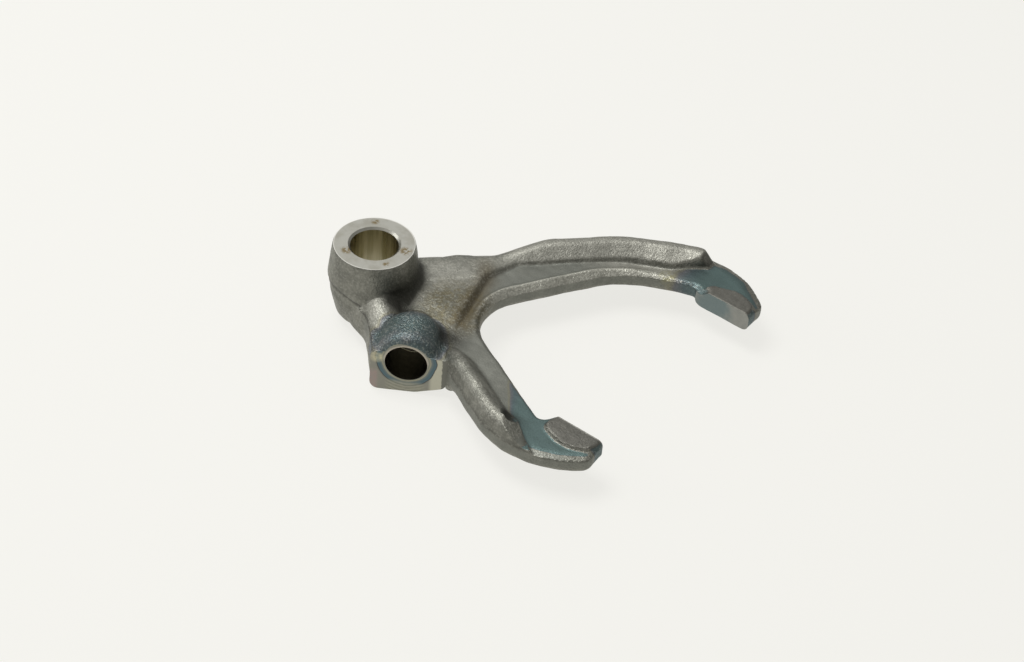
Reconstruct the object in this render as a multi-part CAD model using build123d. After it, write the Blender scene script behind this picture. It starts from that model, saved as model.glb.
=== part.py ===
from build123d import *
import os
from math import cos, hypot, radians, sin, tan

# Forged steel shift fork with a rail boss, a cross-hole boss and two machined pads.
# Millimetres, +Z up. The origin is on the axis of the rail bore, in the parting plane of the
# forging. +X runs from the rail boss to the pads, and +Y points to the long arm.

# Rail boss, upright, with the through bore for the shift rail
rail_bore_d = 20.0
rail_bore_chamfer = 0.9
boss_top_z = 22.3
boss_foot_z = -11.0
boss_top_r = 17.1
boss_waist_r = 19.2
boss_waist_z = 6.0
boss_waist_bend_r = 8.0
boss_foot_r = 15.5
boss_foot_edge_r = 1.5
boss_top_edge_r = 0.6
boss_blend_r = 6.0

# Pads: two parallel working faces, either side of the fork's middle line
fork_centre_y = 34.9
pad_gap = 101.0
pad_middle_x = 118.7
pad_length = 23.4
near_pad_short = 1.2
pad_stock_depth = 3.0
far_face_y = fork_centre_y + pad_gap / 2
near_face_y = fork_centre_y - pad_gap / 2
pad_heel_x = pad_middle_x - pad_length / 2
pad_tip_x = pad_middle_x + pad_length / 2

# Flange: the flat section that links boss, arms and pads, rounded to a trimmed band
flange_half = 4.4
flange_edge_r = 2.6
plan_sharp_r = 1.0

# Arms thin down from the boss to the pads
web_fall_start_x = 60.0
web_fall_end_x = 86.0

# Corners of the flange in plan: x, y and the radius of the bend
far_root = (27.9, 46.4, 30.0)
far_neck = (38.2, 64.8, 25.0)
far_elbow = (62.8, 91.0, 60.0)
far_inner_elbow = (74.0, 75.6, 50.0)
crotch = (36.9, 11.2, 23.0)
near_root = (54.0, -20.8)
waist_side = (14.5, -21.5, 14.0)
boss_side_far = (-4.1, 14.9, 1.0)
boss_side_near = (0.0, -16.5, 1.0)

# Corners that follow the pads' tips: back from the tip, outside the face, radius of the bend
far_tip = (-0.2, 10.2, 5.0)
near_tip = (0.2, 10.3, 5.4)
far_shoulder = (22.05, 30.9, 37.9)
near_shoulder = (23.45, 32.2, 41.0)

# Corners that follow the pads' heels, in the same way
far_heel = (4.75, 2.4, 3.0)
near_heel = (4.05, 5.6, 4.0)

# Corners of the pads' raised lands, from heel to tip, in the same way from the middle
far_land = [(11.6, 5.6, 4.0), (-1.0, 10.2, 12.0), (-10.0, 5.9, 1.0)]
near_land = [(13.3, 7.2, 4.0), (0.2, 11.9, 14.0), (-8.4, 7.0, 1.0)]
land_half = 11.3
land_reach = 1.0

# Ribs along the outer edges of the arms
rib_top_z = 9.3
far_rib_width = 13.6
near_rib_width = 11.6
far_rib_edge_z = 5.2
near_rib_edge_z = 4.9
rib_set_in = 0.2
rib_crown = 5.2
rib_edge_in = 0.7
rib_draft = 1.4
rib_outer_r = 4.2
rib_inner_r = 3.4
rib_foot_z = 3.4
rib_toe_r = 0.6
rib_foot_r = 0.2
far_rib_drop = 3.5
far_rib_bend_r = 24.0
far_rib_start = 0.156
near_rib_drop = 7.0
near_rib_rise = 5.6
near_rib_lead = 9.0
near_rib_bend_r = 14.0
rib_reach = 0.94

# Swelling of the web at the root of the far arm: corners in plan, and heights
swell_corners = [
    (1.5, 18.0, 1.0),
    (17.0, 4.0, 1.0),
    (36.2, 27.0, 9.0),
    (41.5, 47.0, 9.0),
    (45.5, 57.0, 1.0),
    (34.5, 60.0, 1.0),
    (28.2, 45.0, 26.0),
]
swell_foot_z = 3.8
swell_top_z = 5.9
swell_lean = 60.0

# Milled relief over the tips, and the sloping forged edge that it leaves outside
mill_z = 3.0
mill_r = 82.0
mill_centre_x = 149.5
mill_wall_lean = 8.0
far_rib_end_x = 100.4
far_rib_end_lean = 34.0
rib_bevel_point = (95.7, 103.0)
rib_bevel_out = (0.417, 0.738, 0.53)
trim_half = 2.0
tip_slope_width = 4.5
tip_slope_rise = 1.1
tip_facet_set_in = 0.5
tip_facet_turn = 15.0
tip_facet_lean = 49.0

# Cross hole: a horizontal boss on a block, beside the rail boss, behind one machined face
cross_face_x = 41.1
cross_face_y = -28.1
cross_angle = -60.5
cross_hole_d = 17.3
cross_hole_depth = 17.2
cross_boss_r = 13.0
cross_boss_length = 22.0
cross_boss_edge_r = 4.0
cross_boss_rear_r = 7.8
cross_boss_blend_r = 4.0
face_stock = 2.4
face_cut_reach = 8.0
block_left = 14.5
block_right = 16.2
block_length = 14.5
block_left_z = -15.6
block_foot_x = 4.4
block_foot_z = -14.6
block_right_z = -10.6
block_left_r = 3.5
block_foot_r = 9.0
block_right_r = 2.0

cross_inward = (-cos(radians(cross_angle)), -sin(radians(cross_angle)), 0)
cross_plane = Plane(
    origin=(cross_face_x, cross_face_y, 0),
    x_dir=(cos(radians(cross_angle + 90)), sin(radians(cross_angle + 90)), 0),
    z_dir=cross_inward,
)

# Thick roots under the web: between boss and block, and from the block along the near arm
gusset_foot_z = -10.0
gusset_edge_r = 2.5
neck_foot_z = -9.0
neck_length = 10.5
neck_width = 10.0
neck_bend_r = 8.0


def by_pad(corner, side, start):
    """Place a corner by one pad: back from a place along it, and outside its face."""
    back, out, radius = corner
    face = far_face_y if side > 0 else near_face_y
    return (pad_middle_x + (start - back), face + side * out, radius)


def tip_corner(side):
    """Corner of the plan where an arm's outer edge turns into its end."""
    return by_pad(far_tip if side > 0 else near_tip, side, pad_length / 2)


def shoulder_corner(side):
    """Corner of an arm's outer edge, where it bends round to the pad."""
    return by_pad(far_shoulder if side > 0 else near_shoulder, side, pad_length / 2)


def heel_corner(side):
    """Corner of an arm's inner edge, at the heel of its pad."""
    return by_pad(far_heel if side > 0 else near_heel, side, -pad_length / 2)


def pad_end_x(side):
    """End of a working face; the near pad is a little shorter."""
    return pad_tip_x if side > 0 else pad_tip_x - near_pad_short


def pad_stock(side):
    """Corners of the stock that stands proud of a working face before it is machined."""
    inside = fork_centre_y + side * (pad_gap / 2 - pad_stock_depth)
    return [(pad_end_x(side), inside, plan_sharp_r), (pad_heel_x, inside, plan_sharp_r)]


def past(a, b, distance):
    """Point at a distance beyond b, on the line from a to b."""
    run = hypot(b[0] - a[0], b[1] - a[1])
    return (b[0] + (b[0] - a[0]) * distance / run, b[1] + (b[1] - a[1]) * distance / run)


def fork_corners():
    """Plan of the forged flange at the parting plane, anticlockwise from the far tip."""
    far = [tip_corner(1), shoulder_corner(1), far_elbow, far_neck, far_root]
    front_left = (*past(waist_side, block_corner(), face_stock), plan_sharp_r)
    front_right = (*near_root_out(), plan_sharp_r)
    middle = [boss_side_far, boss_side_near, waist_side, front_left, front_right]
    near = [shoulder_corner(-1), tip_corner(-1)] + pad_stock(-1)
    inner = [heel_corner(-1), crotch, far_inner_elbow, heel_corner(1)]
    return far + middle + near + inner + pad_stock(1)[::-1]


def closed_plan(corners):
    """Face inside a closed outline of straight runs and tangent arcs."""
    points = [(x, y) for x, y, _ in corners]
    line = FilletPolyline(*points, radius=[r for _, _, r in corners], close=True)
    return make_face(line.edges())


def block_corner():
    """Left front corner of the block, on the machined face."""
    corner = cross_plane.from_local_coords((-block_left, 0, 0))
    return (corner.X, corner.Y)


def near_root_out():
    """Start of the near arm's outer edge, in the stock in front of the machined face."""
    return past(shoulder_corner(-1), near_root, -face_stock)


def flange():
    """Flat section of the forging, rounded above and below a trimmed band."""
    body = extrude(closed_plan(fork_corners()), flange_half, both=True)
    rims = body.edges().group_by(Axis.Z)
    body = fillet(rims[-1] + rims[0], flange_edge_r)
    section = Polyline(
        (web_fall_start_x, flange_half),
        (web_fall_end_x, mill_z),
        (pad_heel_x - far_heel[2], mill_z),
        (pad_heel_x - far_heel[2], flange_half),
        close=True,
    )
    thinned = extrude(Plane.XZ * make_face(section.edges()), 2 * pad_gap, both=True)
    return body - thinned


def rib_section(start, toward, hand, width, edge_z):
    """Closed section of a rib, square to the path at its start; hand is +1 to its left."""
    plane = Plane(origin=start, z_dir=toward, x_dir=Vector(0, 0, 1).cross(toward))
    corners = [
        (rib_set_in, 0.0),
        (rib_set_in + rib_draft, rib_top_z),
        (rib_set_in + rib_draft + rib_crown, rib_top_z),
        (width - rib_edge_in, edge_z),
        (width, rib_foot_z),
        (width, 0.0),
    ]
    crown = FilletPolyline(
        *[(hand * u, v) for u, v in corners],
        radius=[rib_outer_r, rib_inner_r, rib_toe_r, rib_foot_r],
    )
    base = Line(crown @ 1, crown @ 0)
    return plane * make_face(crown.edges() + base.edges())


def rib(stations, hand, width, edge_z):
    """Rib swept beside the outline, on a path that dives into the flange at its start."""
    points = [(x, y, z) for x, y, z, _ in stations]
    path = FilletPolyline(*points, radius=[r for _, _, _, r in stations[1:-1]])
    return sweep(rib_section(path @ 0, path % 0, hand, width, edge_z), path=path)


def between(a, b, share):
    """Point at a share of the way from one corner to another."""
    return (a[0] + share * (b[0] - a[0]), a[1] + share * (b[1] - a[1]))


def far_rib():
    shoulder = shoulder_corner(1)
    start = between(boss_side_far, far_root, far_rib_start)
    end = between(shoulder, tip_corner(1), rib_reach)
    stations = [
        (*start, -far_rib_drop, 0),
        (*far_root[:2], -far_rib_drop, far_rib_bend_r),
        (*far_neck[:2], 0.0, far_neck[2]),
        (*far_elbow[:2], 0.0, far_elbow[2]),
        (*shoulder[:2], 0.0, shoulder[2]),
        (*end, 0.0, 0),
    ]
    return rib(stations, -1, far_rib_width, far_rib_edge_z)


def root_swell():
    """Low broad swelling of the web, from the rail boss to the start of the far rib."""
    body = extrude(closed_plan(swell_corners), swell_top_z - swell_foot_z, taper=swell_lean)
    return Pos(0, 0, swell_foot_z) * body


def near_rib():
    shoulder = shoulder_corner(-1)
    run = hypot(shoulder[0] - near_root[0], shoulder[1] - near_root[1])
    end = between(shoulder, tip_corner(-1), rib_reach)
    stations = [
        (*between(near_root, shoulder, -near_rib_lead / run), -near_rib_drop, 0),
        (*between(near_root, shoulder, near_rib_rise / run), 0.0, near_rib_bend_r),
        (*shoulder[:2], 0.0, shoulder[2]),
        (*end, 0.0, 0),
    ]
    return rib(stations, 1, near_rib_width, near_rib_edge_z)


def rail_boss():
    """Turned profile of the rail boss: drafted up and down from its waist."""
    profile = FilletPolyline(
        (0, boss_foot_z),
        (boss_foot_r, boss_foot_z),
        (boss_waist_r, boss_waist_z),
        (boss_top_r, boss_top_z),
        (0, boss_top_z),
        radius=[boss_foot_edge_r, boss_waist_bend_r, boss_top_edge_r],
    )
    axis = Line(profile @ 1, profile @ 0)
    return revolve(Plane.XZ * make_face(profile.edges() + axis.edges()), Axis.Z)


def barrel():
    """Round boss of the cross hole, rounded in front and domed behind."""
    body = extrude(Circle(cross_boss_r), cross_boss_length)
    body = fillet(body.edges().group_by(Axis.Z)[0], cross_boss_edge_r)
    return cross_plane * fillet(body.edges().group_by(Axis.Z)[-1], cross_boss_rear_r)


def block():
    """Squarish lower half of the cross-hole boss, down to its foot."""
    outline = FilletPolyline(
        (-block_left, 0),
        (-block_left, -block_left_z),
        (block_foot_x, -block_foot_z),
        (block_right, -block_right_z),
        (block_right, 0),
        radius=[block_left_r, block_foot_r, block_right_r],
    )
    section = make_face(outline.edges() + Line(outline @ 1, outline @ 0).edges())
    return cross_plane * extrude(section, block_length)


def blend(body, centre, reach, radius):
    """Concave blend at the foot of a boss, kept to the flat top of the flange."""
    plate = Pos(*centre) * Cylinder(reach + 2 * radius, 2 * flange_half)
    standing = plate + body
    near = reach + radius
    foot = [
        e for e in standing.edges() if on_web(e) and (e @ 0.5 - Vector(*centre)).length < near
    ]
    room = offset(closed_plan(fork_corners()), -flange_edge_r)
    return fillet(foot, radius) & extrude(room, boss_top_z, both=True)


def on_web(edge):
    return all(abs((edge @ t).Z - flange_half) < 0.02 for t in (0.1, 0.5, 0.9))


def gusset():
    """Thick root under the web, between the foot of the rail boss and the block."""
    rear = cross_plane.from_local_coords((0, 0, block_length))
    corners = [
        (0.0, 0.0, 1.0),
        boss_side_near,
        waist_side,
        (*block_corner(), 1.0),
        (rear.X, rear.Y, 1.0),
    ]
    body = Pos(0, 0, gusset_foot_z) * extrude(closed_plan(corners), -gusset_foot_z)
    return fillet(body.edges().group_by(Axis.Z)[0], gusset_edge_r)


def neck():
    """Web under the near arm, rising from the block to the underside of the arm."""
    start = Vector(near_root[0], near_root[1], 0)
    shoulder = shoulder_corner(-1)
    along = (Vector(shoulder[0], shoulder[1], 0) - start).normalized()
    side = FilletPolyline(
        (-neck_width, 0),
        (-neck_width, neck_foot_z),
        (0, neck_foot_z),
        (neck_length, -flange_half + 1),
        (neck_length, 0),
        radius=[1.0, neck_bend_r, 1.0],
    )
    face = make_face(side.edges() + Line(side @ 1, side @ 0).edges())
    plane = Plane(origin=start, x_dir=along, z_dir=along.cross(Vector(0, 0, 1)))
    return extrude(plane * face, -neck_width)


def pad_plan(side):
    """Plan of a pad's land, from in front of the working face to its rounded back."""
    ends = [(land_half, -land_reach, 0), (-land_half, -land_reach, 0)]
    heel, tip = [by_pad(corner, side, 0) for corner in ends]
    land = far_land if side > 0 else near_land
    rear = [by_pad(corner, side, 0) for corner in land]
    corners = [heel, *rear, tip]
    line = FilletPolyline(*[c[:2] for c in corners], radius=[c[2] for c in rear])
    return make_face(line.edges() + Line(line @ 1, line @ 0).edges())


def milled_zone(side, lean):
    """Prism over the end of an arm: a large circle, and on the far arm past the rib's end too."""
    height = rib_top_z - mill_z + 1.0
    disc = Pos(mill_centre_x, fork_centre_y, 0) * Circle(mill_r)
    zone = extrude(disc, height, taper=-lean)
    if side > 0:
        end_lean = far_rib_end_lean if lean else 0.0
        top_x = far_rib_end_x - height * tan(radians(end_lean))
        section = Polyline(
            (far_rib_end_x, 0),
            (top_x, height),
            (pad_tip_x, height),
            (pad_tip_x, 0),
            close=True,
        )
        start = far_face_y + far_tip[1] + trim_half
        zone += Pos(0, start, 0) * extrude(Plane.XZ * make_face(section.edges()), -pad_gap)
    beyond = Box(4 * mill_r, 4 * mill_r, 4 * height)
    return zone & (Pos(mill_centre_x, fork_centre_y + side * 2 * mill_r, 0) * beyond)


def relief(side):
    """Milled floor over the end of an arm, round the pad's raised land."""
    land = extrude(pad_plan(side), flange_half - mill_z, both=True)
    return Pos(0, 0, mill_z) * (milled_zone(side, mill_wall_lean) - land)


def tip_slope(side):
    """Conical slope outside the milled floor, about the centre of the shoulder's bend."""
    corner = shoulder_corner(side)
    before = far_elbow if side > 0 else near_root
    bend = FilletPolyline(before[:2], corner[:2], tip_corner(side)[:2], radius=corner[2])
    centre = bend.edges().filter_by(GeomType.CIRCLE)[0].arc_center
    profile = Polyline(
        (corner[2] + 2.0, trim_half),
        (corner[2], trim_half),
        (corner[2] - tip_slope_width, trim_half + tip_slope_rise),
        (corner[2] - tip_slope_width, rib_top_z + 1.0),
        (corner[2] + 2.0, rib_top_z + 1.0),
        close=True,
    )
    ring = revolve(Plane.XZ * make_face(profile.edges()), Axis.Z)
    return (Pos(centre.X, centre.Y, 0) * ring) & milled_zone(side, 0)


def rib_bevel():
    """Bevel across the outer corner of the far rib's end."""
    plane = Plane(origin=(*rib_bevel_point, rib_top_z), z_dir=rib_bevel_out)
    standing = (Align.CENTER, Align.CENTER, Align.MIN)
    beyond = plane * Box(pad_length, pad_length, pad_length, align=standing)
    width = far_rib_width
    above = Box(width, 2 * width, 2 * rib_top_z, align=standing)
    return beyond & (Pos(*rib_bevel_point, trim_half) * above)


def tip_facet(side):
    """Forged facet above the trimmed band, across the corner between a pad and its tip."""
    face_y = fork_centre_y + side * pad_gap / 2
    corner = Pos(pad_end_x(side) - tip_facet_set_in, face_y, 0)
    run = (flange_half - trim_half) * tan(radians(tip_facet_lean))
    section = Polyline(
        (0, flange_half),
        (run, trim_half),
        (tip_slope_width, trim_half),
        (tip_slope_width, rib_top_z),
        (0, rib_top_z),
        close=True,
    )
    wedge = extrude(Plane.XZ * make_face(section.edges()), pad_length / 2, both=True)
    return corner * Rot(0, 0, side * tip_facet_turn) * wedge


def pad_faces():
    """Stock between the two working faces, from behind the heel of the pads to past their tips."""
    start = pad_heel_x - pad_length / 4
    length = 1.5 * pad_length
    box = Box(length, pad_gap, 4 * flange_half, align=(Align.MIN, Align.CENTER, Align.CENTER))
    return Pos(start, fork_centre_y, 0) * box


def cross_face():
    """Stock in front of the machined face of the cross hole, down to the end of the cut."""
    width = block_left + block_right + face_cut_reach
    height = 4 * cross_boss_r
    stock = Box(width, height, height, align=(Align.MAX, Align.CENTER, Align.MAX))
    return cross_plane * Pos(block_right, 0, 0) * stock


def bores():
    """Rail bore with a chamfer at both ends, and the blind cross hole."""
    rail = Cylinder(rail_bore_d / 2, 2 * (boss_top_z - boss_foot_z))
    mouth = rail_bore_d / 2 + rail_bore_chamfer
    centred = (Align.CENTER, Align.CENTER)
    top = Pos(0, 0, boss_top_z) * Cone(0, mouth, mouth, align=(*centred, Align.MAX))
    foot = Pos(0, 0, boss_foot_z) * Cone(mouth, 0, mouth, align=(*centred, Align.MIN))
    cross = cross_plane * extrude(Circle(cross_hole_d / 2), cross_hole_depth)
    return rail + top + foot + cross


def shift_fork():
    """The whole forging, machined."""
    arms = flange() + far_rib() + near_rib() + root_swell() - pad_faces()
    for side in (1, -1):
        arms -= relief(side)
        arms -= tip_slope(side)
        arms -= tip_facet(side)
    arms -= rib_bevel()
    boss = rail_boss()
    round_boss = barrel()
    middle = cross_plane.from_local_coords((0, 0, cross_boss_length / 2))
    body = arms + boss + round_boss + block() + gusset() + neck()
    body += blend(boss, (0, 0, 0), boss_waist_r, boss_blend_r)
    half_diagonal = hypot(cross_boss_r, cross_boss_length / 2)
    body += blend(round_boss, (middle.X, middle.Y, 0), half_diagonal, cross_boss_blend_r)
    return body - cross_face() - bores()


if __name__ == "__main__":
    os.makedirs("parts", exist_ok=True)
    export_step(shift_fork(), "parts/shift_fork.step")
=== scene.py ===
import bmesh
import bpy
import numpy as np
from mathutils import Matrix, Vector
from types import SimpleNamespace


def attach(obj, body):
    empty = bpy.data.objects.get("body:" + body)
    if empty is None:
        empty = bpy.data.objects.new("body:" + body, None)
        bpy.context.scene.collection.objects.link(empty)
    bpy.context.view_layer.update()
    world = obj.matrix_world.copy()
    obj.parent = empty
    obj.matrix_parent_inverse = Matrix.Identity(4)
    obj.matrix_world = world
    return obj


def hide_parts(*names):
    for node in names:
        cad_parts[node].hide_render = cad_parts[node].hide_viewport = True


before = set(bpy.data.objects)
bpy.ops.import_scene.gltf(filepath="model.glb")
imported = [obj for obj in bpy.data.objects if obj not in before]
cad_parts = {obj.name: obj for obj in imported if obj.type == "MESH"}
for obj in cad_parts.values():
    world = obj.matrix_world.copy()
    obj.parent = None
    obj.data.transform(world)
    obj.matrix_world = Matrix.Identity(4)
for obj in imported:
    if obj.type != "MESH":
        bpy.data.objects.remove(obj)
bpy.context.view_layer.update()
# The fork's sizes below are in millimetres
mm = 0.001

# The forged blank: steel hammered between two dies into one rough piece, with a round blend in
# every inner corner. It starts from the fork's solid, with stock left on the faces that are
# machined later and its bores plugged.
boss_top_z = 22.3
boss_foot_z = -11.0
rail_r = 10.0
cross_face = np.array([41.1, -28.1, 0.0])
cross_turn = np.radians(-60.5)
cross_out = np.array([np.cos(cross_turn), np.sin(cross_turn), 0.0])
cross_side = np.array([-np.sin(cross_turn), np.cos(cross_turn), 0.0])
hole_r = 8.65
hole_depth = 17.2
far_face_y = 85.4
near_face_y = -15.6
stock = 1.2
plug_r = rail_r + 1.5
# Lumps of metal, each by its two ends and the radii there: the saddle between the two bosses, the
# fill where the short arm leaves the cross boss, and the domed rear of the cross boss
saddle = ((11.0, -8.5, 1.5), (24.5, -20.0, -2.4), 9.4, 7.6)
neck_fill = ((53.5, -18.0, -6.5), (60.0, -21.5, -5.0), 3.4, 2.6)
dome = (cross_face - 16.0 * cross_out, cross_face - 26.0 * cross_out, 12.0, 6.5)
merge_gap = 0.001
same_way = 0.999
same_level = 0.01
skin_size = 0.62
blend_share = 0.5
blend_passes = 3


def raise_face(shell, point, outward):
    """Lift the flat face through a point by the machining stock, along its outward normal."""
    outward = Vector(outward)
    level = outward.dot(Vector(point)) * mm
    flat = [
        face for face in shell.faces
        if face.normal.dot(outward) > same_way
        and abs(outward.dot(face.calc_center_median()) - level) < same_level * mm
    ]
    raised = bmesh.ops.extrude_face_region(shell, geom=flat)["geom"]
    corners = [part for part in raised if isinstance(part, bmesh.types.BMVert)]
    bmesh.ops.translate(shell, verts=corners, vec=outward * stock * mm)


def add_cylinder(shell, start, end, radius, far_radius=None):
    """Add a closed cylinder, or a cone, from one point to another."""
    start, end = Vector(start) * mm, Vector(end) * mm
    turn = (end - start).to_track_quat("Z", "Y").to_matrix().to_4x4()
    bmesh.ops.create_cone(
        shell, cap_ends=True, segments=96, depth=(end - start).length,
        radius1=radius * mm, radius2=(far_radius or radius) * mm,
        matrix=Matrix.Translation((start + end) / 2) @ turn,
    )


def as_object(shell, name):
    """Turn a shell under construction into an object of that name."""
    mesh = bpy.data.meshes.new(name)
    shell.to_mesh(mesh)
    shell.free()
    made = bpy.data.objects.new(name, mesh)
    bpy.context.scene.collection.objects.link(made)
    return made


def settle(made):
    """Replace an object's mesh by the one its modifiers give, and drop the modifiers."""
    graph = bpy.context.evaluated_depsgraph_get()
    mesh = bpy.data.meshes.new_from_object(made.evaluated_get(graph))
    made.modifiers.clear()
    made.data = mesh


shell = bmesh.new()
shell.from_mesh(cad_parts["shift_fork"].data)
bmesh.ops.remove_doubles(shell, verts=shell.verts, dist=merge_gap * mm)
raise_face(shell, (0, 0, boss_top_z), (0, 0, 1))
raise_face(shell, (0, 0, boss_foot_z), (0, 0, -1))
raise_face(shell, cross_face, cross_out)
raise_face(shell, (0, far_face_y, 0), (0, -1, 0))
raise_face(shell, (0, near_face_y, 0), (0, 1, 0))
add_cylinder(shell, (0, 0, boss_foot_z - stock), (0, 0, boss_top_z + stock), plug_r)
add_cylinder(shell, cross_face + stock * cross_out, cross_face - hole_depth * cross_out, hole_r)
for lump in (saddle, neck_fill, dome):
    add_cylinder(shell, *lump)
fork = as_object(shell, "forging")
skin = fork.modifiers.new("skin", "REMESH")
skin.mode = "VOXEL"
skin.voxel_size = skin_size * mm
soften = fork.modifiers.new("soften", "SMOOTH")
soften.factor = blend_share
soften.iterations = blend_passes
settle(fork)

# What the dies leave on the blank: a channel in the web of the long arm, between a low bank and a
# rim that slopes to the trimmed edge, the run-out and the scoop at the short rib's end, the crease
# where the two dies met round the rail boss, and slight waviness.
web_top_z = 4.4
trim_z = 1.8
# The inner edge of the fork in plan, by its corners' x, y and radius
inner_edge = [
    (102.95, -21.2, 0), (36.9, 11.2, 23), (74.0, 75.6, 50), (102.25, 87.8, 3), (107.0, 85.4, 0),
]
channel_depth = 0.6
bank_rise = 1.3
bank = [(26.0, 44.0), (35.6, 29.5), (38.1, 21.6), (40.7, 13.0), (42.9, 5.7), (45.5, -2.0)]
rim_width = 3.1
rim_min_y = 8.0
rib_top_z = 9.3
run_out_x = 94.0
run_out_max_y = -27.8
run_out_fall = 0.467
run_out_foot_z = 3.2
scoop_middle = (95.5, -28.0, 8.6)
scoop_r = 5.4
# The crease along the rail boss's flank, by its x, y and height
crease = [
    (-18.5, -4.0, 5.6), (-13.0, -14.0, 6.6), (-4.4, -18.5, 7.0), (0.9, -19.0, 6.2),
    (5.0, -18.4, 4.4), (10.7, -19.9, 3.1), (16.3, -23.1, 2.9), (22.0, -27.5, 3.5),
    (28.0, -32.0, 4.0),
]
crease_depth = 0.6
crease_half = 0.75
crease_reach = 3.0
die_shift = 0.5
# The waves of the surface, by their length, depth and seed
surface_waves = [(14.0, 0.16, 1), (4.5, 0.048, 2)]


def ramp(value, start, end):
    """0 at start, 1 at end, and between them three times the share squared less twice it cubed.

    It falls as the value grows where start is the larger of the two.
    """
    share = np.clip((value - start) / (end - start), 0, 1)
    return share * share * (3 - 2 * share)


def bell(distance, size):
    """1 at no distance, falling as e to the minus square of the distance over the size."""
    return np.exp(-((distance / size) ** 2))


def rounded(corners, steps=14):
    """Points along straight runs and arcs: corners of x, y and radius.

    Each arc touches its two runs at the radius over the tangent of half the angle between them.
    """
    points = [np.array(corners[0][:2])]
    for before, (x, y, radius), after in zip(corners, corners[1:], corners[2:]):
        corner = np.array([x, y])
        back, ahead = np.array(before[:2]) - corner, np.array(after[:2]) - corner
        back, ahead = back / np.linalg.norm(back), ahead / np.linalg.norm(ahead)
        half = np.arccos(np.clip(back @ ahead, -1, 1)) / 2
        middle = corner + (back + ahead) / np.linalg.norm(back + ahead) * radius / np.sin(half)
        start = corner + back * radius / np.tan(half) - middle
        end = corner + ahead * radius / np.tan(half) - middle
        turn = np.arccos(np.clip(start @ end / radius ** 2, -1, 1))
        share = np.linspace(0, 1, steps)[:, None]
        arc = np.sin((1 - share) * turn) * start + np.sin(share * turn) * end
        points.extend(middle + arc / np.sin(turn))
    points.append(np.array(corners[-1][:2]))
    return np.array(points)


def beside(place, line):
    """Distance in plan from a line of points, positive to its left, and the height of the line."""
    best = np.full(len(place), np.inf)
    side, height = np.zeros(len(place)), np.zeros(len(place))
    line = np.array(line, float)
    for start, end in zip(line, line[1:]):
        run = end[:2] - start[:2]
        share = np.clip((place[:, :2] - start[:2]) @ run / (run @ run), 0, 1)
        off = place[:, :2] - start[:2] - share[:, None] * run
        length = np.linalg.norm(off, axis=1)
        near = length < best
        best = np.where(near, length, best)
        turn = run[0] * off[:, 1] - run[1] * off[:, 0]
        side = np.where(near, np.where(turn < 0, -length, length), side)
        if len(start) > 2:
            height = np.where(near, start[2] + share * (end[2] - start[2]), height)
    return side, height


def waves(place, size, seed):
    """Smooth unevenness from -1 to 1: a sum of sines of about one length in random directions."""
    draw = np.random.default_rng(seed)
    count = 9
    total = np.zeros(len(place))
    for _ in range(count):
        way = draw.normal(size=3)
        way /= np.linalg.norm(way) * size * draw.uniform(0.7, 1.3)
        total += np.sin(place @ way * 2 * np.pi + draw.uniform(0, 2 * np.pi))
    return total / count * 2


def read(mesh, name, source):
    """The places or the directions of a mesh's items, a row of three numbers for each."""
    values = np.empty(len(getattr(mesh, source)) * 3, np.float32)
    getattr(mesh, source).foreach_get(name, values)
    return values.reshape(-1, 3).astype(float)


def survey(made):
    """What the marks go by at each point of a mesh, in mm.

    up and ahead are the normal's parts along +Z and +X, inside is the distance in plan from the
    fork's inner edge, east that from the bank, and aside that from the crease.
    """
    place = read(made.data, "co", "vertices") / mm
    facing = read(made.data, "vector", "vertex_normals")
    x, y, z = place.T
    inside, _ = beside(place, rounded(inner_edge))
    east, _ = beside(place, bank)
    aside, crease_z = beside(place, crease)
    return SimpleNamespace(
        place=place, facing=facing, x=x, y=y, z=z, up=facing[:, 2], ahead=facing[:, 0],
        inside=inside, east=east, aside=np.abs(aside), crease_z=crease_z,
    )


def zone(at, **bounds):
    """Share of a zone at each point: the product of a ramp for each bound that is named."""
    share = 1.0
    for name, (start, end) in bounds.items():
        share = share * ramp(getattr(at, name), start, end)
    return share


def pressed_web(at):
    """Heights after the web's marks: the ground beyond the bank raised, the channel sunk."""
    raised = zone(at, x=(12, 18), y=(-7, 6), up=(0.5, 0.9), east=(1.6, -2.2))
    raised = raised * zone(at, x=(48, 44), y=(40, 32))
    lift = np.clip(web_top_z + bank_rise * raised - at.z, 0, None) * ramp(raised, 0, 0.2)
    channel = zone(at, x=(30, 40), y=(2, 12), z=(5.3, 4.6), up=(0.6, 0.85))
    channel = channel * zone(at, x=(92, 76), east=(-1.6, 1.4), inside=(2.6, 5.0))
    return at.z + lift * zone(at, z=(3.4, 4.3)) - channel_depth * channel


def pressed_rib_end(at, height):
    """Heights after the short rib's end: a straight run-out, and a round scoop in its side."""
    slide = np.maximum(rib_top_z - run_out_fall * (at.x - run_out_x), run_out_foot_z)
    run_out = (at.y < run_out_max_y) & (at.x > run_out_x) & (height > run_out_foot_z)
    height = np.where(run_out, np.minimum(height, slide), height)
    middle_x, middle_y, middle_z = scoop_middle
    from_middle = np.hypot(at.x - middle_x, at.y - middle_y)
    bowl = middle_z - np.sqrt(np.clip(scoop_r ** 2 - from_middle ** 2, 0, None))
    scooped = (from_middle < scoop_r) & (at.z > bowl) & (at.z > trim_z)
    return np.where(scooped, np.minimum(height, bowl), height)


def pressed_rim(at, height):
    """Heights after the rim: a straight slope from the web's top down to the trimmed edge."""
    slope = np.maximum(trim_z + (web_top_z - trim_z) * at.inside / rim_width, trim_z)
    above = (at.up > 0.05) & (at.z > trim_z)
    on_rim = above & (at.inside < rim_width) & (at.inside > -1) & (at.y > rim_min_y)
    sunk = (np.minimum(height, slope) - height) * zone(at, y=(10, 34))
    return np.where(on_rim, height + sunk, height)


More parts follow.
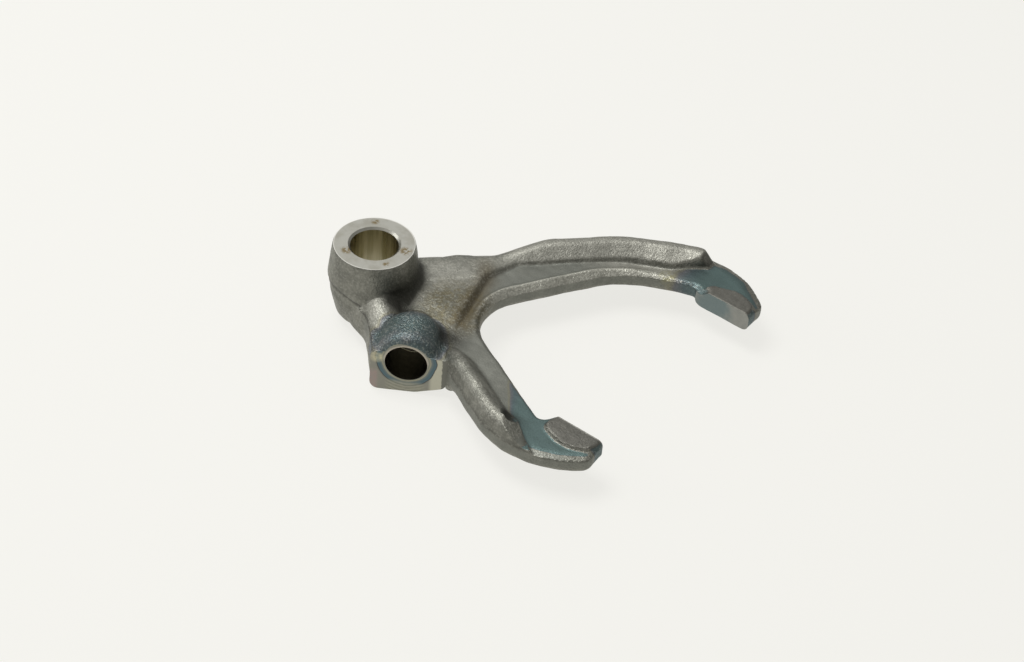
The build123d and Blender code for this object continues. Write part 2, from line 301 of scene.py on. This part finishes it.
def crease_groove(at):
    """Depth of the crease: a narrow bell at its height, and below it the step of the dies."""
    below = at.crease_z - at.z
    step = die_shift * ramp(below, -0.2, 0.8) * ramp(below, 7, 3)
    on_flank = (at.aside < crease_reach) & (np.abs(at.up) < 0.6)
    depth = (crease_depth * bell(below, crease_half) + step) * zone(at, aside=(crease_reach, 1.5))
    return np.where(on_flank, depth, 0)


def press(made):
    """Move the blank's points to the die's marks: first in height, then inwards."""
    at = survey(made)
    height = pressed_rim(at, pressed_rib_end(at, pressed_web(at)))
    depth = crease_groove(at)
    for length, wave_depth, seed in surface_waves:
        depth = depth + wave_depth * waves(at.place, length, seed)
    moved = np.column_stack([at.x, at.y, height]) - at.facing * depth[:, None]
    made.data.vertices.foreach_set("co", (moved * mm).astype(np.float32).ravel())
    made.data.update()


press(fork)

# The machined faces: both ends of the rail boss, the chamfered rail bore, the face and the blind
# hole of the cross boss, and the working faces of the two pads. Each is cut where the solid has it.
bore_chamfer = 0.9
cutter_reach = 4.0
boss_top_cutter_r = 24.0
boss_foot_cutter_r = 17.5
face_cut = (cutter_reach, 32.4, 60.0)
face_cut_aside = 0.85
pad_cut = (35.0, cutter_reach, 30.0)
pad_cut_x = 118.6
sharp_angle = np.radians(40)


def cut(made, cutter):
    """Take a cutter's shape out of an object."""
    tool = as_object(cutter, "cutter")
    taken = made.modifiers.new("cut", "BOOLEAN")
    taken.operation = "DIFFERENCE"
    taken.solver = "MANIFOLD"
    taken.object = tool
    settle(made)
    bpy.data.objects.remove(tool)


def add_block(shell, centre, size, turn=0.0):
    """Add a box, turned about the vertical through its centre."""
    place = Matrix.Translation(Vector(centre) * mm) @ Matrix.Rotation(turn, 4, "Z")
    bmesh.ops.create_cube(shell, size=1.0, matrix=place @ Matrix.Diagonal((*Vector(size) * mm, 1)))


def cutters():
    """The cutters, one closed shell after another."""
    top_z, foot_z = boss_top_z + cutter_reach, boss_foot_z - cutter_reach
    shell = bmesh.new()
    add_cylinder(shell, (0, 0, boss_top_z), (0, 0, top_z), boss_top_cutter_r)
    add_cylinder(shell, (0, 0, boss_foot_z), (0, 0, foot_z), boss_foot_cutter_r)
    yield shell
    shell = bmesh.new()
    add_cylinder(shell, (0, 0, foot_z), (0, 0, top_z), rail_r)
    yield shell
    for z, out in ((boss_top_z, 1), (boss_foot_z, -1)):
        shell = bmesh.new()
        start = (0, 0, z - 2 * out * bore_chamfer)
        end = (0, 0, z + out * bore_chamfer)
        add_cylinder(shell, start, end, rail_r - bore_chamfer, rail_r + 2 * bore_chamfer)
        yield shell
    shell = bmesh.new()
    middle = cross_face + cross_out * cutter_reach / 2 + cross_side * face_cut_aside
    add_block(shell, middle, face_cut, cross_turn)
    yield shell
    shell = bmesh.new()
    start = cross_face + cutter_reach * cross_out
    add_cylinder(shell, start, cross_face - hole_depth * cross_out, hole_r)
    yield shell
    shell = bmesh.new()
    add_block(shell, (pad_cut_x, far_face_y - cutter_reach / 2, 0), pad_cut)
    add_block(shell, (pad_cut_x, near_face_y + cutter_reach / 2, 0), pad_cut)
    yield shell


for cutter in cutters():
    cut(fork, cutter)
fork.data.set_sharp_from_angle(angle=sharp_angle)

# The forged skin: dull olive-grey steel with a fine blasted grain, with painted shade in its
# hollows and along the crease, painted light on the saddle, the long arm's root and its rim,
# painted glints, and temper colours where the barrel and the pads were hardened. What lies where is
# kept as numbers at the mesh's points.
barrel_heart = tuple(cross_face - 9.0 * cross_out)
web_heart = (38.0, 8.0, 4.0)
milled_z = 3.0
far_pad_min_y = 35.0
# Painted shade in the pockets between the bosses, beside the barrel and at the short rib's end, by
# their middle, their reach on each axis and how dark they are
shade_pockets = [
    ((20.5, -7.5, 6.5), (6.5, 6.0, 4.5), 1.4),
    ((46.8, -9.8, 4.8), (6.5, 6.0, 4.0), 1.2),
    ((92.8, -28.2, 4.8), (5.5, 3.2, 4.0), 1.2),
]
black = (0.022, 0.022, 0.018)
pit = (0.08, 0.08, 0.068)
olive = (0.18, 0.18, 0.155)
pale = (0.255, 0.253, 0.22)
plain = (0.185, 0.192, 0.17)
bright = (0.34, 0.335, 0.295)
rim_highlight = (0.45, 0.445, 0.39)
glint_pale = (0.5, 0.495, 0.44)
edge_highlight_grey = (0.42, 0.41, 0.37)
land_tones = ((0.10, 0.098, 0.088), (0.175, 0.17, 0.15))
drab = (0.135, 0.128, 0.092)
rust = (0.138, 0.118, 0.064)
brown = (0.12, 0.095, 0.055)
yellow = (0.30, 0.285, 0.17)
straw = (0.21, 0.195, 0.125)
purple = (0.135, 0.14, 0.152)
blue = (0.088, 0.124, 0.136)
teal = (0.088, 0.14, 0.138)
temper_colours = [(0.0, straw), (0.2, straw), (0.35, purple), (0.6, blue), (1.0, teal)]


class Value:
    """A number in a material. Sums and products written with it add Math nodes."""

    def __init__(self, finish, socket):
        self.finish = finish
        self.socket = socket

    def __add__(self, other):
        return self.finish.maths("ADD", self, other)

    def __sub__(self, other):
        return self.finish.maths("SUBTRACT", self, other)

    def __rsub__(self, other):
        return self.finish.maths("SUBTRACT", other, self)

    def __mul__(self, other):
        return self.finish.maths("MULTIPLY", self, other)

    __radd__ = __add__
    __rmul__ = __mul__


class Finish:
    """A material under construction, on the object's own coordinates."""

    def __init__(self, name, metallic, roughness):
        self.material = bpy.data.materials.new(name)
        self.material.use_nodes = True
        self.tree = self.material.node_tree
        self.shader = self.tree.nodes["Principled BSDF"]
        self.shader.inputs["Metallic"].default_value = metallic
        self.shader.inputs["Roughness"].default_value = roughness
        self.place = self.node("TexCoord", out="Object")
        self.x, self.y, self.z = [
            self.node("SeparateXYZ", {}, {0: self.place}, out=axis) * (1 / mm) for axis in range(3)
        ]

    def node(self, kind, settings=None, sockets=None, out=0):
        """Add one node with its settings, then its sockets' values or links."""
        made = self.tree.nodes.new("ShaderNode" + kind)
        for name, value in (settings or {}).items():
            if name == "stops":
                self.set_stops(made.color_ramp, value)
            else:
                setattr(made, name, value)
        for key, value in (sockets or {}).items():
            if isinstance(value, Value):
                self.tree.links.new(value.socket, made.inputs[key])
            else:
                made.inputs[key].default_value = value
        return Value(self, made.outputs[out])

    def set_stops(self, ramp, stops):
        """Give a ramp its stops, each a place from 0 to 1 and a colour."""
        for element in list(ramp.elements)[1:]:
            ramp.elements.remove(element)
        for index, (place, colour) in enumerate(stops):
            element = ramp.elements[0] if index == 0 else ramp.elements.new(place)
            element.position = place
            element.color = (*colour, 1.0)

    def maths(self, operation, first, second=0.0):
        """One Math node. An operation on one number leaves the second unread."""
        return self.node("Math", {"operation": operation}, {0: first, 1: second})

    def mark(self, name):
        """The number that is kept at the mesh's points under a name."""
        return self.node("Attribute", {"attribute_name": name}, out="Fac")

    def noise(self, size, detail=2.0, roughness=0.5):
        """Blotches of about the given size in millimetres, from 0 to 1."""
        sockets = {"Vector": self.place, "Scale": 1 / (size * mm), "Detail": detail}
        return self.node("TexNoise", {}, {**sockets, "Roughness": roughness})

    def step(self, value, start, end):
        """0 at start, 1 at end, and smooth between. It falls with the value if start > end."""
        if start > end:
            return 1 - self.step(value, end, start)
        sockets = {"Value": value, "From Min": start, "From Max": end}
        return self.node("MapRange", {"interpolation_type": "SMOOTHSTEP"}, sockets)

    def clip(self, value):
        """A value kept from 0 to 1."""
        return self.node("Clamp", {}, {0: value})

    def away(self, point):
        """Distance in millimetres from a point."""
        sockets = {0: self.place, 1: Vector(point) * mm}
        return self.node("VectorMath", {"operation": "DISTANCE"}, sockets, out=1) * (1 / mm)

    def spot(self, point, inner, outer):
        """1 within the inner distance of a point, 0 beyond the outer one."""
        return self.step(self.away(point), outer, inner)

    def along(self, way):
        """Distance in millimetres past the middle of the cross boss's face, along a direction."""
        return self.x * way[0] + self.y * way[1] - float(cross_face @ way)

    def mix(self, share, first, second):
        """A colour between two, by a share from 0 to 1."""
        sides = [tone if isinstance(tone, Value) else (*tone, 1.0) for tone in (first, second)]
        return self.node("Mix", {"data_type": "RGBA"}, {0: share, 6: sides[0], 7: sides[1]}, out=2)

    def lay(self, colour, layers):
        """Lay tones over a colour one after another, each with its share from 0 to 1."""
        for share, tone in layers:
            colour = self.mix(share, colour, tone)
        return colour

    def feed(self, socket, value):
        """Link a value to one of the shader's own sockets."""
        self.tree.links.new(value.socket, self.shader.inputs[socket])


def mark(made, name, values):
    """Keep one number per point of a mesh, for its finish to read."""
    layer = made.data.attributes.new(name, "FLOAT", "POINT")
    layer.data.foreach_set("value", values.astype(np.float32))


def mark_flats(made, at):
    """Mark what has a smooth top or a painted highlight: the channel, the rim with its painted
    highlight, the bank and the pads' ends.
    """
    channel = zone(at, x=(30, 40), y=(2, 12), z=(5.4, 4.7), up=(0.75, 0.93))
    channel = channel * zone(at, x=(94, 88), east=(-2, 1), inside=(2.4, 3.6))
    near_web = zone(at, x=(50, 54), y=(4, -2), z=(5.2, 4.7), up=(0.75, 0.93), inside=(0.5, 1.5))
    mark(made, "channel", channel + 0.8 * near_web)
    rim = zone(at, x=(100, 96), y=(8, 20), z=(1.6, 2.2), up=(0.15, 0.4), inside=(4.2, 3.0))
    mark(made, "rim", rim)
    on_bank = (at.z > 3) * zone(at, y=(-4, 2)) * ramp(at.y, 44, 32)
    mark(made, "bank", bell(at.east - 0.3, 4.2) * on_bank)
    land = zone(at, x=(103, 106), z=(3.3, 3.9), up=(0.5, 0.9)) * ramp(at.z, 5.6, 5.0)
    mark(made, "land", land * (at.y > -29))
    off_floor = np.abs(at.z - milled_z)
    floor = zone(at, x=(74, 82), up=(0.93, 0.98)) * ramp(off_floor, 0.45, 0.2)
    far_end, near_end = ramp(at.x, 90, 92), ramp(at.x + 0.9 * at.y, 66, 72)
    mark(made, "milled", floor * np.where(at.y > far_pad_min_y, far_end, near_end))


def mark_dark_places(made, at):
    """Mark the trimmed edge, the scale above it, painted shade along the crease, and painted shade
    in the hollows and at the long arm's tip end.
    """
    steep = np.abs(at.up)
    edge = ramp(steep, 0.5, 0.25) * ramp(np.abs(at.x) + np.abs(at.y), 30, 36)
    mark(made, "trim", ramp(np.abs(at.z), 2.2, 1.7) * edge)
    mark(made, "scale", bell(at.z - 2.9, 0.7) * edge)
    # Painted shade along the crease's groove
    near_crease = zone(at, aside=(crease_reach, 1.5)) * ramp(steep, 0.7, 0.5)
    mark(made, "crease", bell(at.z - at.crease_z, 0.8) * near_crease)
    # Painted shade on the side of the rail boss that faces away from the light
    behind_hub_shade = ramp(at.x + 0.3 * at.y, 8, 17) * ramp(np.hypot(at.x, at.y), 24, 19.5)
    painted_shade = 0.9 * behind_hub_shade * zone(at, z=(20, 6)) * (at.z > 3)
    # Painted shade on the end of the long arm's tip, which faces away from the light
    rib_end = zone(at, x=(95.5, 97), z=(3.2, 4.0), ahead=(0.55, 0.75)) * (at.y > 92)
    painted_shade = painted_shade + 0.7 * rib_end
    for middle, reach, strength in shade_pockets:
        painted_shade = painted_shade + strength * bell(np.linalg.norm((at.place - middle) / reach, axis=1), 1.0)
    mark(made, "painted_shade", np.clip(painted_shade, 0, 1))


def temper(finish, heat):
    """The temper layer: straw, purple and blue, then teal in the hottest part."""
    tint = finish.node("ValToRGB", {"stops": temper_colours}, {0: heat})
    return finish.step(heat, 0.02, 0.35) * 0.85, tint


surveyed = survey(fork)
mark_flats(fork, surveyed)
mark_dark_places(fork, surveyed)
forged = Finish("forged_steel", 0.9, 0.45)
channel, rim, bank_mark, land, milled, trim, scale, crease_shade, painted_shade = [
    forged.mark(name)
    for name in ("channel", "rim", "bank", "land", "milled", "trim", "scale", "crease", "painted_shade")
]
grain = forged.noise(0.65, 1.5, 0.6)
speck = forged.noise(1.05, 1.0)
patch = forged.noise(2.5, 3.0, 0.65)
blotch = forged.noise(7.0)
smooth = forged.clip(channel + trim * 0.7 + milled)
rough = 1 - smooth
# Heat: all round the barrel, and on the long and the short arm's ends
wobble = (blotch - 0.5) * 6.0
barrel_heat = forged.step(forged.away(barrel_heart) + wobble, 20.0, 10.0)
between_pads = forged.step(forged.y, 92.0, 88.0) * forged.step(forged.y, -23.0, -20.0)
inner_side = between_pads * forged.step(forged.z, 4.1, 3.7)
end_heat = forged.step(forged.x + wobble * 0.6, 86.0, 104.0)
end_heat = end_heat * forged.clip(milled + inner_side * 0.8)
near_heat = forged.step(forged.x + forged.y * 0.6 + wobble * 0.6, 66.0, 84.0)
near_heat = near_heat * milled * forged.step(forged.y, 20.0, 0.0)
heat = forged.maths("MAXIMUM", barrel_heat, forged.clip(end_heat + near_heat))
# Painted light: lighter tone on the raised root of the long arm, on the saddle where it faces the
# light, and at the channel's far end to offset its shade
lit_far_rib = forged.step(forged.z, 4.7, 5.6) * forged.step(forged.y, 32.0, 56.0)
painted_light = forged.spot((25.0, 21.0, 5.0), 4.0, 15.0) * 0.7
painted_light = painted_light + forged.spot((17.0, -15.0, 8.0), 3.0, 9.0) * 0.5
painted_light = painted_light + channel * forged.step(forged.y, 60.0, 80.0) * 0.9
# A painted highlight: a thin light line along the top edge of each working face, where the burr
# stands
far_gap, near_gap = [
    forged.maths("ABSOLUTE", forged.y - face_y) for face_y in (far_face_y, near_face_y)
]
edge_highlight = land * forged.step(forged.maths("MINIMUM", far_gap, near_gap), 0.75, 0.25)
# Bright and dark dots of the blasted grain; the bright ones are painted glints, fewer in the
# painted shade and more on the rim and the barrel
rusty = forged.step(patch, 0.35, 0.6)
dots = speck + (grain - 0.5) * 0.8
painted_glints = forged.step(dots, 0.52, 0.7) * rough * (1 - land * 0.8) * (1 - painted_shade * 0.8)
painted_glints = painted_glints * forged.clip(0.22 + rim * 0.5 + barrel_heat * 0.12)
skin_tone = forged.lay(forged.mix(forged.step(blotch, 0.3, 0.7), olive, pale), [
    (lit_far_rib * 0.7, bright),
    (smooth * 0.75, plain),
    # Painted highlight along the rim
    (rim * 0.8, rim_highlight),
    (forged.clip(painted_light), bright),
    (forged.spot(web_heart, 6.0, 20.0) * 0.55, drab),
    (rusty * forged.spot(web_heart, 6.0, 22.0) * 0.7, rust),
    (bank_mark * 0.62, brown),
    temper(forged, heat),
    (rusty * forged.spot((90.0, 84.5, 3.0), 1.5, 5.0) * 0.8, yellow),
    (land * 0.85, forged.mix(patch, *land_tones)),
    (edge_highlight * 0.8, edge_highlight_grey),
    # Painted shade in the hollows and along the crease, and the dark scale above the trimmed edge
    (forged.clip(painted_shade * 0.85 + scale * 0.5 + crease_shade * 0.6), black),
    (painted_glints, glint_pale),
    (forged.step(dots, 0.46, 0.3) * rough * 0.22, pit),
])
forged.feed("Base Color", skin_tone)
forged.feed("Roughness", forged.step(grain, 0.3, 0.7) * 0.22 + 0.4 + smooth * 0.04)
near_side = forged.step(forged.y, 0.0, -6.0)
coarse = 0.34 + 0.25 * rim + 0.6 * barrel_heat + 0.12 * near_side - 0.2 * land
forged.feed("Normal", forged.node("Bump", {}, {
    "Strength": forged.clip(coarse) * (1 - 0.75 * smooth),
    "Distance": 0.42 * mm,
    "Height": grain + 0.7 * speck,
}))

# The rail boss's ends, turned bright on a lathe, with a few brown stains and a thin bright edge,
# and its bore, oiled and streaked along the rail.
edge_r = (16.35, 16.75)
# Each stain by its place on the top end and its size
stains = [((-9.0, 11.0), 2.4), ((-5.7, -10.8), 3.2), ((12.6, 4.8), 3.6), ((12.0, -6.8), 2.0)]
turned_tones = ((0.47, 0.465, 0.42), (0.40, 0.39, 0.34))
stain_brown = (0.22, 0.17, 0.09)
edge_bright = (0.75, 0.74, 0.69)
oiled_tones = ((0.30, 0.275, 0.175), (0.50, 0.46, 0.33))

turned = Finish("turned_face", 1.0, 0.3)
spread = turned.step(turned.noise(5.0, 3.0, 0.6), 0.35, 0.7)
turned_tone = turned.mix(spread, *turned_tones)
broken = turned.step(turned.noise(1.2, 3.0), 0.35, 0.55)
in_plan = turned.node(
    "VectorMath", {"operation": "MULTIPLY"}, {0: turned.place, 1: (1.0, 1.0, 0.0)}
)
from_axis = turned.node("VectorMath", {"operation": "LENGTH"}, {0: in_plan}, out=1) * (1 / mm)
turned_tone = turned.lay(turned_tone, [
    (turned.spot((*place, boss_top_z), size * 0.3, size) * broken, stain_brown)
    for place, size in stains
])
turned_tone = turned.mix(turned.step(from_axis, *edge_r), turned_tone, edge_bright)
turned.feed("Base Color", turned_tone)
turned.feed("Roughness", turned.noise(0.4) * 0.15 + 0.28)

bored = Finish("bored_hole", 1.0, 0.3)
upright = bored.node("Mapping", {}, {"Vector": bored.place, "Scale": (1.0, 1.0, 0.06)})
streaks = bored.node("TexNoise", {}, {"Vector": upright, "Scale": 1 / (2.2 * mm), "Detail": 2.0})
bored.feed("Base Color", bored.mix(bored.step(streaks, 0.35, 0.65), *oiled_tones))
bored.feed("Roughness", streaks * 0.25 + 0.18)

# The cross boss's face, milled after it was hardened: rings of temper colour round the hole, from
# beige through blue to a dark arc, with bare corners. The hole was drilled; its wall is painted
# dark as shade, and its end wall is painted pale as light.
ring_width = 5.0
face_rings = [
    (0.0, (0.46, 0.41, 0.35)), (0.1, (0.36, 0.34, 0.28)), (0.22, (0.20, 0.20, 0.175)),
    (0.32, (0.30, 0.29, 0.21)), (0.42, (0.15, 0.17, 0.165)), (0.6, (0.09, 0.135, 0.15)),
    (0.78, (0.095, 0.14, 0.16)), (0.83, (0.05, 0.045, 0.035)), (0.88, (0.20, 0.20, 0.175)),
    (1.0, (0.24, 0.235, 0.20)),
]
yellow_corner = tuple(cross_face - 12.0 * cross_side + np.array([0, 0, 1.5]))
foot_tones = ((0.17, 0.175, 0.15), (0.30, 0.29, 0.22))
cutter_mark = (0.42, 0.41, 0.34)
bare_beige = (0.43, 0.42, 0.34)
pink_tones = ((0.36, 0.24, 0.22), (0.27, 0.26, 0.24))
pale_yellow = (0.60, 0.56, 0.38)
dull_edge = (0.15, 0.15, 0.13)
shaded_wall_tones = ((0.05, 0.045, 0.035), (0.13, 0.12, 0.09))
lit_end_pale = (0.95, 0.92, 0.78)

faced = Finish("faced_boss", 1.0, 0.38)
from_hole = faced.away(tuple(cross_face)) + (faced.noise(2.5) - 0.5) * 0.7
ring = (from_hole - hole_r) * (1 / ring_width) + faced.step(faced.z, 3.0, -3.0) * 0.2
across = faced.along(cross_side)
foot = faced.step(faced.z, -8.5, -11.0)
foot = foot * faced.step(across, 9.0, 6.0) * faced.step(across, -9.0, -6.0)
beige = faced.step(across, 9.0, 11.0) * faced.step(ring, 0.84, 0.9)
beige = beige * faced.step(across * 0.5 + faced.z, -13.0, -6.0)
pinkish = faced.step(across, -10.5, -12.5) * faced.step(faced.z, -4.0, -7.0)
cutter_rings = faced.step(faced.maths("SINE", from_hole * 4.2), -0.6, 0.6)
yellowed = faced.noise(1.5) * 1.4 * faced.spot(yellow_corner, 1.0, 3.6)
ragged = (faced.noise(1.5, 3.0) - 0.5) * 1.2
face_tone = faced.lay(faced.node("ValToRGB", {"stops": face_rings}, {0: ring}), [
    (foot * 0.8, faced.mix(faced.noise(1.5, 3.0), *foot_tones)),
    (beige, bare_beige),
    (pinkish * 0.8, faced.mix(faced.noise(2.0), *pink_tones)),
    (cutter_rings * foot * 0.35, cutter_mark),
    (faced.clip(yellowed) * 0.9, pale_yellow),
    (faced.step(across + ragged, 14.5, 14.9), dull_edge),
])
faced.feed("Base Color", face_tone)
faced.feed("Roughness", faced.noise(0.8, 3.0) * 0.25 + 0.25)

drilled = Finish("drilled_hole", 1.0, 0.4)
# Painted light on the hole's end wall, and painted shade on its wall
hole_end = drilled.step(drilled.along(cross_out), 0.2 - hole_depth, 0.05 - hole_depth)
wall_tone = drilled.mix(drilled.noise(2.0, 3.0), *shaded_wall_tones)
drilled.feed("Base Color", drilled.mix(hole_end, wall_tone, lit_end_pale))

# The pads' working faces, ground flat and worn grey, with a blue patch left at the long arm's heel.
hot_spot = (113.0, 86.0, 0.0)
pad_tones = ((0.22, 0.225, 0.21), (0.34, 0.34, 0.31))
pad_blue = (0.15, 0.20, 0.205)

ground = Finish("ground_pad", 1.0, 0.42)
hot = ground.step(ground.away(hot_spot) + (ground.noise(5.0) - 0.5) * 8.0, 12.0, 5.0)
pad_tone = ground.mix(ground.noise(2.5, 4.0, 0.6), *pad_tones)
ground.feed("Base Color", ground.mix(hot * 0.8, pad_tone, pad_blue))
ground.feed("Roughness", ground.noise(0.7, 3.0) * 0.3 + 0.3)

# Each face takes its finish by where it lies and which way it points. The flat machined faces are
# shaded flat, so that they keep their edges.
on_surface = 0.02
squarely = 0.99
chamfer_slack = 0.05
hole_end_slack = 0.1
boss_end_max_r = 20.0
pad_min_x = 100.0
finishes = [forged, turned, bored, faced, drilled, ground]


def set_finishes(made):
    """Give each face its finish. Of two that claim a face, the later one has it."""
    centre = read(made.data, "center", "polygons") / mm
    normal = read(made.data, "normal", "polygons")
    steep = np.abs(normal[:, 2])
    from_axis = np.hypot(centre[:, 0], centre[:, 1])
    to_cross = centre - cross_face
    depth = to_cross @ cross_out
    from_cross = np.hypot(to_cross @ cross_side, centre[:, 2])

    def lies_at(axis, *levels):
        return np.any([np.abs(centre[:, axis] - level) < on_surface for level in levels], axis=0)

    boss_end = (steep > squarely) & (from_axis < boss_end_max_r)
    boss_end = boss_end & lies_at(2, boss_top_z, boss_foot_z)
    in_hole = (depth < -on_surface) & (depth > -hole_depth - hole_end_slack)
    on_pad = lies_at(1, far_face_y, near_face_y) & (centre[:, 0] > pad_min_x)
    claims = [
        (turned, boss_end | (from_axis < rail_r + bore_chamfer + chamfer_slack)),
        (bored, (from_axis < rail_r + on_surface) & (steep < 0.5)),
        (faced, (np.abs(depth) < on_surface) & (normal @ cross_out > squarely)),
        (drilled, in_hole & (from_cross < hole_r + on_surface)),
        (ground, on_pad & (np.abs(normal[:, 1]) > squarely)),
    ]
    chosen = np.zeros(len(centre), np.int32)
    for finish, faces in claims:
        chosen[faces] = finishes.index(finish)
    made.data.materials.clear()
    for finish in finishes:
        made.data.materials.append(finish.material)
    flat = [finishes.index(finish) for finish in (turned, faced, ground)]
    made.data.polygons.foreach_set("material_index", chosen)
    made.data.polygons.foreach_set("use_smooth", ~np.isin(chosen, flat))


set_finishes(fork)
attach(fork, "root")
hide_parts("shift_fork")

# The table the fork lies on: matt pale paper that goes on past the frame, in a pale room, under one
# large soft light overhead and weak ones from the left and from behind. From here on, lengths are
# in metres.
table_half = 3.0
table_glow = 0.85
table_z = float(read(fork.data, "co", "vertices")[:, 2].min())
paper_white = (0.80, 0.79, 0.755, 1.0)
background = (0.913, 0.905, 0.863, 1.0)
room_light = 0.36
target = Vector((0.055, 0.030, 0.0))
lamps = [
    ("overhead", (-0.30, -0.10, 1.0), 0.55, 9.0),
    ("left", (-0.9, -0.55, 0.45), 0.5, 2.5),
    ("back", (-0.55, 0.80, 0.75), 0.8, 1.1),
]

table_mesh = bpy.data.meshes.new("table")
corners = [
    (x * table_half, y * table_half, table_z) for x, y in ((-1, -1), (1, -1), (1, 1), (-1, 1))
]
table_mesh.from_pydata(corners, [], [(0, 1, 2, 3)])
table = bpy.data.objects.new("table", table_mesh)
bpy.context.scene.collection.objects.link(table)
paper = Finish("paper", 0.0, 1.0)
paper.shader.inputs["Base Color"].default_value = paper_white
paper.shader.inputs["Specular IOR Level"].default_value = 0.0
camera_ray, glossy_ray, transmission_ray = [
    paper.node("LightPath", out=ray)
    for ray in ("Is Camera Ray", "Is Glossy Ray", "Is Transmission Ray")
]
seen = paper.clip(camera_ray + glossy_ray + transmission_ray) * table_glow
lit = Value(paper, paper.shader.outputs[0])
glow = paper.node("Emission", {}, {"Color": background})
surface = paper.node("MixShader", {}, {0: seen, 1: lit, 2: glow})
output = next(node for node in paper.tree.nodes if node.type == "OUTPUT_MATERIAL")
paper.tree.links.new(surface.socket, output.inputs["Surface"])
table_mesh.materials.append(paper.material)

world = bpy.data.worlds.new("room")
bpy.context.scene.world = world
world.use_nodes = True
world.node_tree.nodes["Background"].inputs["Color"].default_value = background
world.node_tree.nodes["Background"].inputs["Strength"].default_value = room_light

for name, place, size, power in lamps:
    lamp = bpy.data.lights.new(name, "AREA")
    lamp.size = size
    lamp.energy = power
    made = bpy.data.objects.new(name, lamp)
    made.location = place
    made.rotation_mode = "QUATERNION"
    made.rotation_quaternion = (target - Vector(place)).to_track_quat("-Z", "Y")
    bpy.context.scene.collection.objects.link(made)

# The camera, about 0.93 m away with a long lens, by its own right, up and forward directions. It
# was fitted to the rims of the bores and the edges of the pads.
right = Vector((0.788355, 0.611792, 0.064861))
up = Vector((-0.444080, 0.492918, 0.748214))
forward = Vector((-0.425780, 0.618662, -0.660279))
camera_place = (0.453749, -0.555280, 0.609680)
lens = bpy.data.cameras.new("camera")
lens.lens = 79.654
lens.sensor_width = 36.0
camera = bpy.data.objects.new("camera", lens)
turn = Matrix((right, up, -forward)).transposed().to_4x4()
camera.matrix_world = Matrix.Translation(camera_place) @ turn
bpy.context.scene.collection.objects.link(camera)
bpy.context.scene.camera = camera
bpy.context.scene.view_settings.view_transform = "Standard"
